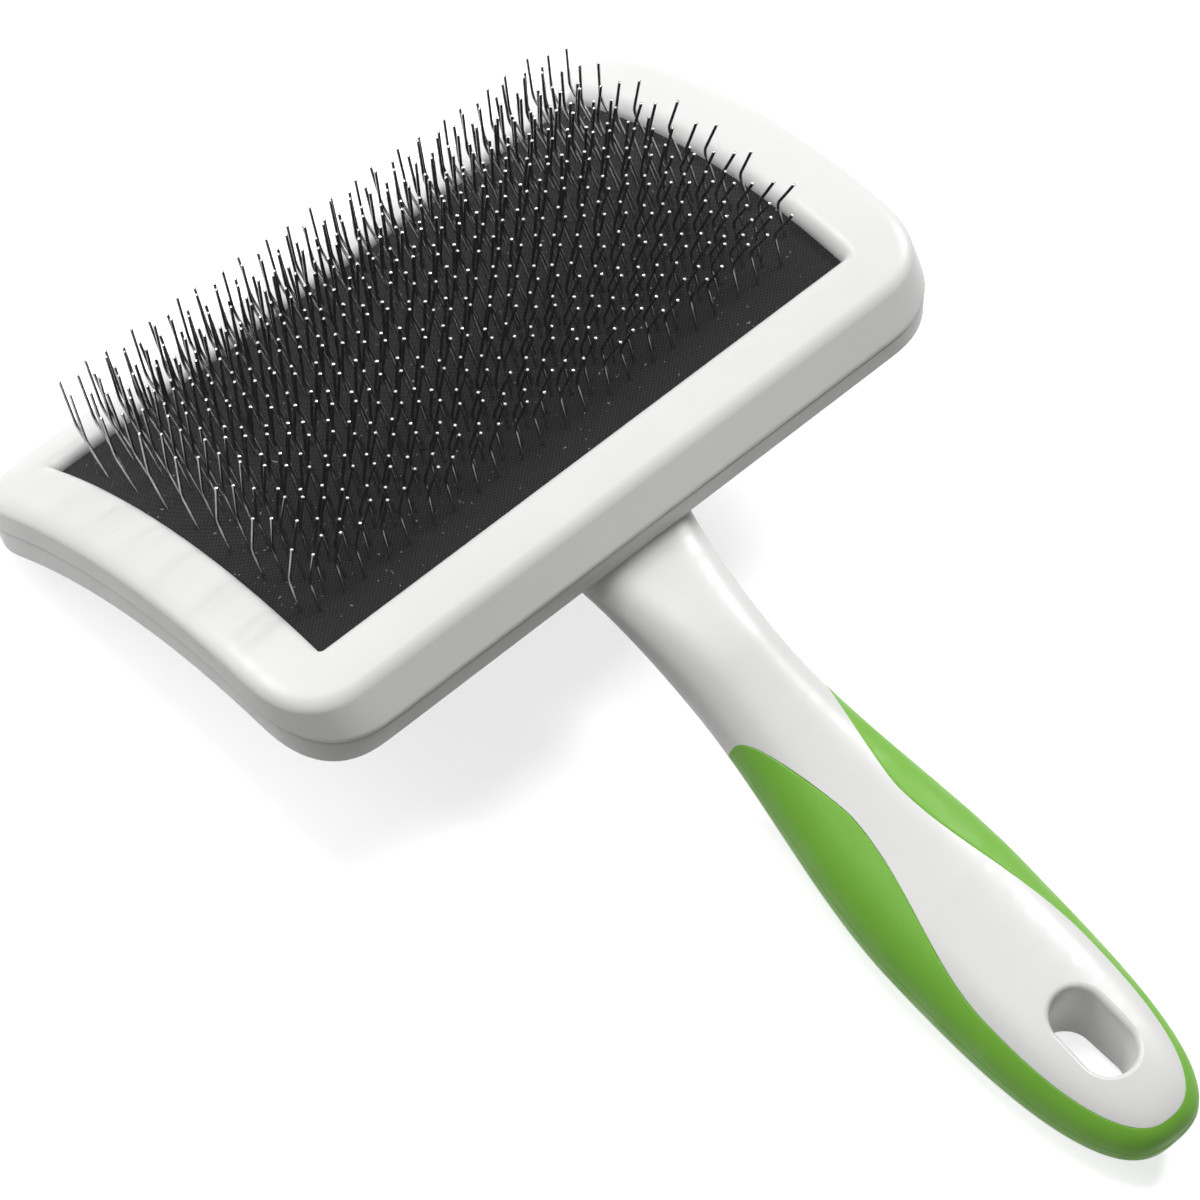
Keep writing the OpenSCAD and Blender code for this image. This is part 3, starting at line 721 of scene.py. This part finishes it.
class Paint:
    """Small helper round a node tree with a Principled shader."""

    def __init__(self, name, **sockets):
        self.material = bpy.data.materials.new(name)
        self.material.use_nodes = True
        self.tree = self.material.node_tree
        self.shader = self.tree.nodes["Principled BSDF"]
        for key, value in sockets.items():
            self.shader.inputs[key.replace("_", " ")].default_value = value
        self.coords = self.node("ShaderNodeTexCoord").outputs["Object"]

    def node(self, kind, **settings):
        n = self.tree.nodes.new(kind)
        for key, value in settings.items():
            setattr(n, key, value)
        return n

    def link(self, a, b):
        self.tree.links.new(a, b)

    def mapped(self, scale=(1, 1, 1), rotation=(0, 0, 0)):
        m = self.node("ShaderNodeMapping")
        m.inputs["Scale"].default_value = scale
        m.inputs["Rotation"].default_value = rotation
        self.link(self.coords, m.inputs["Vector"])
        return m.outputs["Vector"]

    def noise(self, scale, detail=3.0, rough=0.5, vector=None):
        n = self.node("ShaderNodeTexNoise")
        n.inputs["Scale"].default_value = scale
        n.inputs["Detail"].default_value = detail
        n.inputs["Roughness"].default_value = rough
        self.link(vector or self.coords, n.inputs["Vector"])
        return n.outputs["Fac"]

    def threads(self, scale, turn, distortion, detail):
        """Parallel threads, turned about Z."""
        n = self.node("ShaderNodeTexWave", wave_type="BANDS", bands_direction="X", wave_profile="SIN")
        n.inputs["Scale"].default_value = scale
        n.inputs["Distortion"].default_value = distortion
        n.inputs["Detail"].default_value = detail
        self.link(self.mapped(rotation=(0, 0, turn)), n.inputs["Vector"])
        return n.outputs["Fac"]

    def spread(self, value, low, high, from_low=0.0, from_high=1.0):
        n = self.node("ShaderNodeMapRange")
        for key, v in (("From Min", from_low), ("From Max", from_high), ("To Min", low), ("To Max", high)):
            n.inputs[key].default_value = v
        self.link(value, n.inputs["Value"])
        return n.outputs["Result"]

    def ramp(self, value, *stops):
        n = self.node("ShaderNodeValToRGB")
        while len(n.color_ramp.elements) < len(stops):
            n.color_ramp.elements.new(0.5)
        for element, (at, colour) in zip(n.color_ramp.elements, stops):
            element.position, element.color = at, (*colour, 1)
        self.link(value, n.inputs["Fac"])
        return n.outputs["Color"]

    def mix(self, factor, a, b):
        n = self.node("ShaderNodeMix", data_type="RGBA")
        for value, key in ((factor, 0), (a, 6), (b, 7)):
            if isinstance(value, tuple):
                n.inputs[key].default_value = (*value, 1)
            else:
                self.link(value, n.inputs[key])
        return n.outputs[2]

    def math(self, how, a, b):
        n = self.node("ShaderNodeMath", operation=how)
        for k, value in enumerate((a, b)):
            if isinstance(value, (int, float)):
                n.inputs[k].default_value = value
            else:
                self.link(value, n.inputs[k])
        return n.outputs[0]

    def bump(self, height, strength, distance, under=None):
        n = self.node("ShaderNodeBump")
        n.inputs["Strength"].default_value = strength
        n.inputs["Distance"].default_value = distance
        self.link(height, n.inputs["Height"])
        if under is not None:
            self.link(under, n.inputs["Normal"])
        return n.outputs["Normal"]

    def to(self, socket, value):
        self.link(value, self.shader.inputs[socket])


def white_plastic():
    p = Paint("white_plastic", Specular_IOR_Level=0.45, IOR=1.53)
    cloud = p.noise(28, detail=4)
    scuff = p.noise(160, detail=5, rough=0.65, vector=p.mapped(scale=(1, 3.5, 1), rotation=(0, 0, 0.6)))
    p.to("Base Color", p.ramp(cloud, (0.3, (0.80, 0.80, 0.785)), (0.7, (0.84, 0.84, 0.83))))
    p.to("Roughness", p.spread(scuff, 0.27, 0.44, from_low=0.3, from_high=0.7))
    grain = p.bump(p.noise(2600, detail=2), strength=0.05, distance=0.0002)
    p.to("Normal", p.bump(scuff, strength=0.03, distance=0.0004, under=grain))
    return p.material


def green_rubber():
    p = Paint("green_grip", Specular_IOR_Level=0.42, IOR=1.5)
    cloud = p.noise(45, detail=4)
    p.to("Base Color", p.ramp(cloud, (0.3, (0.175, 0.460, 0.036)), (0.7, (0.200, 0.505, 0.044))))
    fine = p.noise(1900, detail=3, rough=0.6)
    p.to("Roughness", p.spread(p.noise(220, detail=4), 0.40, 0.56, from_low=0.3, from_high=0.7))
    p.to("Normal", p.bump(fine, strength=0.12, distance=0.00025))
    return p.material


def woven_cloth():
    p = Paint("pad_cloth", Roughness=0.92, Specular_IOR_Level=0.2, Sheen_Weight=0.12, Sheen_Roughness=0.5)
    twill = p.threads(720, turn=0.9, distortion=1.2, detail=1.0)
    weft = p.threads(1250, turn=-0.7, distortion=0.8, detail=2.0)
    weave = p.math("MULTIPLY", p.math("ADD", twill, weft), 0.5)
    base = p.ramp(weave, (0.1, (0.009, 0.009, 0.010)), (0.8, (0.034, 0.034, 0.035)))
    lint = p.spread(p.noise(1500, detail=2), 0.0, 1.0, from_low=0.70, from_high=0.76)
    p.to("Base Color", p.mix(lint, base, (0.30, 0.30, 0.30)))
    fuzz = p.bump(p.noise(3000, detail=2), strength=0.2, distance=0.0002)
    p.to("Normal", p.bump(weave, strength=0.55, distance=0.0003, under=fuzz))
    return p.material


def steel_wire():
    p = Paint("steel_wire", Metallic=1.0)
    bright = p.node("ShaderNodeAttribute", attribute_name="tip_glint").outputs["Fac"]
    drawn = p.noise(700, detail=3, rough=0.6, vector=p.mapped(scale=(3, 3, 0.4)))
    dark = p.ramp(drawn, (0.3, (0.32, 0.32, 0.325)), (0.75, (0.56, 0.56, 0.57)))
    # The marked wire ends get brighter steel: a painted glint on the cut ends
    p.to("Base Color", p.mix(bright, dark, (0.85, 0.85, 0.85)))
    p.to("Roughness", p.spread(drawn, 0.12, 0.2, from_low=0.3, from_high=0.7))
    p.to("Normal", p.bump(drawn, strength=0.08, distance=0.0001))
    return p.material


def inner_rubber(name, low, high, scale, rough):
    p = Paint(name, Specular_IOR_Level=0.3)
    cells = p.noise(scale, detail=3, rough=0.6)
    p.to("Base Color", p.ramp(cells, (0.3, low), (0.7, high)))
    p.to("Roughness", p.spread(cells, rough - 0.08, rough + 0.08))
    p.to("Normal", p.bump(cells, strength=0.3, distance=0.0003))
    return p.material


# Pieces

white, green, wire = white_plastic(), green_rubber(), steel_wire()

frame_ring = mesh_object("frame_ring", *loft(frame_rings(), looped=True))
finish_piece(frame_ring, white, "white_plastic", "front_frame", sharp=ROUNDED_SHARP)
finish_piece(white_moulding(), white, "white_plastic", "back_and_handle")
finish_piece(grip_shell(), green, "green_grip", "grip", sharp=ROUNDED_SHARP)

cloth = arched_slab("pad_cloth", OPENING_L + 2 * CLAMP_W, OPENING_W + 2 * CLAMP_W, LIP_DEPTH, CLOTH_T,
                    CLOTH_EDGE_R, CLOTH_CELLS)
finish_piece(cloth, woven_cloth(), "pad_cloth", "face_cloth", sharp=ROUNDED_SHARP)

foam_u = POCKET_U - PAD_GAP
foam = arched_slab("pad_foam", OPENING_L + 2 * foam_u, OPENING_W + 2 * foam_u, FOAM_Z, FOAM_T,
                   FOAM_EDGE_R, FOAM_CELLS)
foam_look = inner_rubber("pad_foam", (0.30, 0.29, 0.26), (0.42, 0.41, 0.37), scale=1400, rough=0.9)
finish_piece(foam, foam_look, "pad_foam", "foam_cushion", sharp=ROUNDED_SHARP)

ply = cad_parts["rubber_ply"]
ply.data.materials.clear()
ply.data.materials.append(
    inner_rubber("pad_rubber", (0.05, 0.05, 0.055), (0.09, 0.09, 0.095), scale=500, rough=0.7))

for i in range(ROWS):
    staple_row(i, wire)


# Stage, light and camera

FLOOR_HALF = 6
FLOOR_BOUNCE, FLOOR_GLOW, WORLD_LIGHT = (0.28, 0.28, 0.28), 0.70, 0.11
LIGHT_AIM = (0, 0, 0.03)


def seen_by_eye(tree):
    """1 for the rays that show the background itself: to the camera, in gloss and through glass."""
    path = tree.nodes.new("ShaderNodeLightPath")
    value = path.outputs["Is Camera Ray"]
    for name in ("Is Glossy Ray", "Is Transmission Ray"):
        either = tree.nodes.new("ShaderNodeMath")
        either.operation = "MAXIMUM"
        tree.links.new(value, either.inputs[0])
        tree.links.new(path.outputs[name], either.inputs[1])
        value = either.outputs[0]
    return value


def floor_and_world():
    """White to the eye, and a plain low level of light on the object."""
    me = bpy.data.meshes.new("floor")
    corners = [(x * FLOOR_HALF, y * FLOOR_HALF, 0) for x, y in ((-1, -1), (1, -1), (1, 1), (-1, 1))]
    me.from_pydata(corners, [], [(0, 1, 2, 3)])
    floor = new_object("floor", me)
    p = Paint("floor", Roughness=0.9, Specular_IOR_Level=0.1)
    seen = seen_by_eye(p.tree)
    paper = p.ramp(p.noise(3, detail=2), (0.3, (0.94, 0.94, 0.94)), (0.7, (0.96, 0.96, 0.96)))
    p.to("Base Color", p.mix(seen, FLOOR_BOUNCE, paper))
    p.to("Emission Color", p.mix(seen, (0.0, 0.0, 0.0), (1.0, 1.0, 1.0)))
    p.shader.inputs["Emission Strength"].default_value = FLOOR_GLOW
    floor.data.materials.append(p.material)

    world = bpy.data.worlds.new("studio")
    bpy.context.scene.world = world
    world.use_nodes = True
    tree = world.node_tree
    back = tree.nodes["Background"]
    level = tree.nodes.new("ShaderNodeMapRange")
    level.inputs["To Min"].default_value = WORLD_LIGHT
    level.inputs["To Max"].default_value = 1.0
    tree.links.new(seen_by_eye(tree), level.inputs["Value"])
    tree.links.new(level.outputs[0], back.inputs["Strength"])
    back.inputs["Color"].default_value = (1, 1, 1, 1)


def area_light(name, place_at, size, power):
    data = bpy.data.lights.new(name, "AREA")
    data.shape, data.size, data.energy = "DISK", size, power
    ob = new_object(name, data)
    ob.location = place_at
    ob.rotation_euler = (Vector(LIGHT_AIM) - Vector(place_at)).to_track_quat("-Z", "Y").to_euler()


floor_and_world()
area_light("right", (0.64, 0.08, 0.50), size=0.16, power=2.5)
area_light("left", (-0.60, 0.80, 0.80), size=0.7, power=3.5)
area_light("top", (0, 0.48, 1.22), size=0.7, power=10.0)

# The photograph's viewpoint, in the head's frame: turn, shift in millimetres, focal length in pixels
VIEW_TURN = Euler((2.41787676, -0.407345407, -0.651071645), "XYZ").to_matrix()
VIEW_SHIFT = Vector((-21.1091, -36.0322, 938.354))
FOCAL_PX, IMAGE_PX, SENSOR_MM = 7004.34, 1200, 36
eye = -(VIEW_TURN.transposed() @ VIEW_SHIFT)
axes = Matrix((VIEW_TURN[0], -VIEW_TURN[1], -VIEW_TURN[2])).transposed().to_4x4()
turn = lying().to_quaternion().to_matrix().to_4x4()
camera = new_object("camera", bpy.data.cameras.new("camera"))
camera.data.sensor_width = SENSOR_MM
camera.data.lens = SENSOR_MM * FOCAL_PX / IMAGE_PX
camera.data.clip_start, camera.data.clip_end = 0.05, 20
camera.matrix_world = Matrix.Translation(LAY @ eye) @ turn @ axes
bpy.context.scene.camera = camera
bpy.context.scene.view_settings.view_transform = "Standard"
